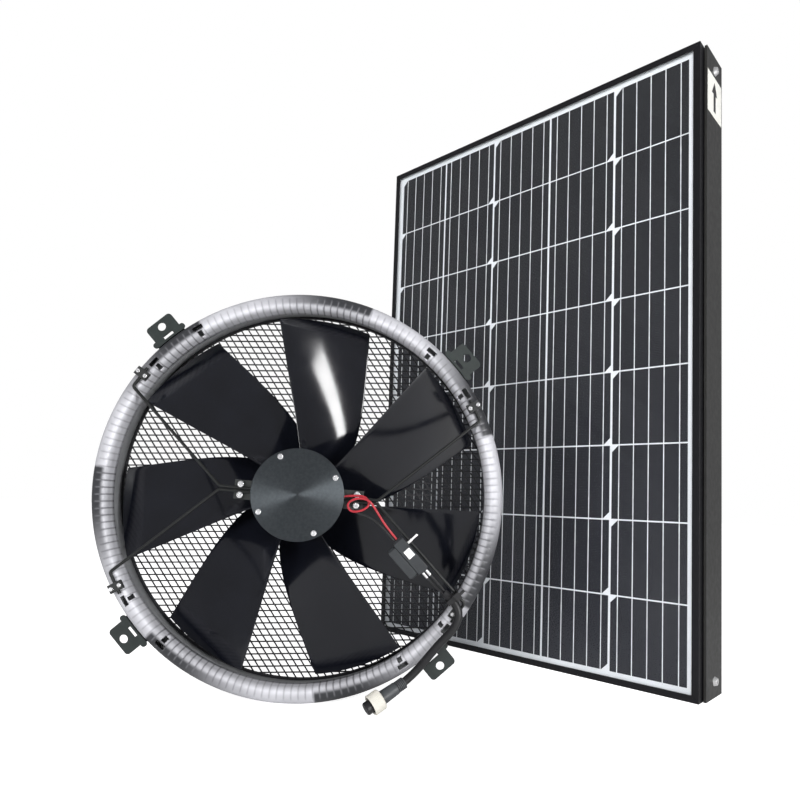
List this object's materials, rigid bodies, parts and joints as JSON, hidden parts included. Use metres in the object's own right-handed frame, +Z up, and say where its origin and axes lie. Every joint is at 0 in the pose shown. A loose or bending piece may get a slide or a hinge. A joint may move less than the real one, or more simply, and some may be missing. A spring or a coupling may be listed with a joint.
{
  "type": "solar attic fan",
  "caption": "Ring-mounted solar attic fan with a seven-blade wheel, wire guard, lead and plug, beside a framed solar panel on tilt rails.",
  "frame": {"origin": "centre of the fan's circle of four mounting holes, on the back face of the mounting tabs", "axes": "fan axis along Y with its front facing -Y; +Z up, along the panel's height"},
  "size_m": [0.71, 0.4726, 0.7682],
  "materials": {
    "galvanised": "rolled galvanised sheet",
    "galvanised_shroud": "galvanised sheet",
    "guard_black": "black powder coat",
    "guard_rim_black": "black powder coat",
    "screw_steel": "zinc plated",
    "bracket_paint": "dark grey-green paint",
    "rivet_steel": "dark rivets",
    "rod_paint": "blackened steel wire",
    "plate_paint": "black paint",
    "bright_screw": "bright zinc",
    "clamp_paint": "black paint",
    "turned_black": "turned, black anodised",
    "housing_black": "black anodised",
    "bearing_steel": "ground steel",
    "lamination": "laminated steel",
    "copper": "enamelled copper",
    "board": "glass-epoxy board",
    "shaft_steel": "ground steel",
    "magnet": "nickel plated magnet",
    "blade_black": "glossy black",
    "red_insulation": "red wire",
    "black_insulation": "black wire",
    "connector_grey": "dark grey nylon",
    "tinned": "tinned brass",
    "tie_black": "black nylon",
    "tie_white": "natural nylon",
    "lock_white": "white nylon",
    "cable_jacket": "black rubber",
    "plug_rubber": "dark rubber",
    "plug_grey": "dark grey nylon",
    "nut_white": "off-white nylon",
    "insert_black": "black nylon",
    "frame_black": "black anodised",
    "key_alu": "plain",
    "glass": "low-iron tempered glass",
    "cell_silicon": "dark silicon",
    "ribbon": "tinned copper ribbon",
    "backsheet_white": "white polymer sheet",
    "box_black": "black moulding",
    "gland_black": "black nylon",
    "rail_black": "black powder coat",
    "bolt_steel": "stainless",
    "label_white": "blank label with an arrow"
  },
  "bodies": {
    "fan_frame": {"inlet_ring": "galvanised", "shroud": "galvanised_shroud", "guard_rows": "guard_black", "guard_diagonals": "guard_black", "guard_rim": "guard_rim_black", "guard_screws": "screw_steel", "mount_brackets": "bracket_paint", "bracket_rivets": "rivet_steel", "strut_rods_left": "rod_paint", "strut_rods_right": "rod_paint", "strut_plates": "plate_paint", "strut_screws": "bright_screw", "rod_clamps": "clamp_paint", "clamp_screws": "bright_screw", "motor_cover": "turned_black", "cover_screws": "bright_screw", "motor_housing": "housing_black", "bearings": "bearing_steel", "stator_core": "lamination", "stator_windings": "copper", "control_board": "board", "red_wire": "red_insulation", "black_wire": "black_insulation", "connector_socket": "connector_grey", "connector_plug": "connector_grey", "connector_terminals": "tinned", "lead_pair": "black_insulation", "cable_tie": "tie_black", "white_tie": "tie_white", "lock_tab": "lock_white", "lead_cable": "cable_jacket", "plug_strain_relief": "plug_rubber", "plug_body": "plug_grey", "plug_insert": "insert_black"},
    "wheel": {"fan_wheel": "blade_black", "motor_shaft": "shaft_steel", "rotor_core": "lamination", "rotor_magnets": "magnet", "wheel_washer": "screw_steel", "wheel_nut": "screw_steel"},
    "panel": {"frame_top": "frame_black", "frame_bottom": "frame_black", "frame_left": "frame_black", "frame_right": "frame_black", "corner_keys": "key_alu", "glass": "glass", "solar_cells": "cell_silicon", "busbar_ribbons": "ribbon", "backsheet": "backsheet_white", "junction_box": "box_black", "junction_lid": "box_black", "cable_glands": "gland_black", "mount_ears": "rail_black", "pivot_bolts": "bolt_steel"},
    "tilt_frame": {"rail_left": "rail_black", "rail_right": "rail_black", "cross_bars": "rail_black", "lock_bolts": "bolt_steel", "lift_label": "label_white"},
    "plug_nut": {"coupling_nut": "nut_white"}
  },
  "joints": [
    {"name": "wheel_spin", "type": "hinge", "parent": "fan_frame", "child": "wheel", "pos_m": [0, 0.02, 0], "axis": [0, 1, 0], "continuous": true},
    {"name": "panel_move", "type": "slide", "parent": "fan_frame", "child": "panel", "axis": [1, 0, 0], "range_m": [0, 0.25]},
    {"name": "rail_tilt", "type": "hinge", "parent": "panel", "child": "tilt_frame", "pos_m": [0.2992, 0.23136, -0.1965], "axis": [-0.699, 0.7151, 0], "range_deg": [0, 45]},
    {"name": "nut_spin", "type": "hinge", "parent": "fan_frame", "child": "plug_nut", "pos_m": [0.08736, -0.0303, -0.20224], "axis": [-0.8044, -0.3645, -0.469], "continuous": true}
  ]
}
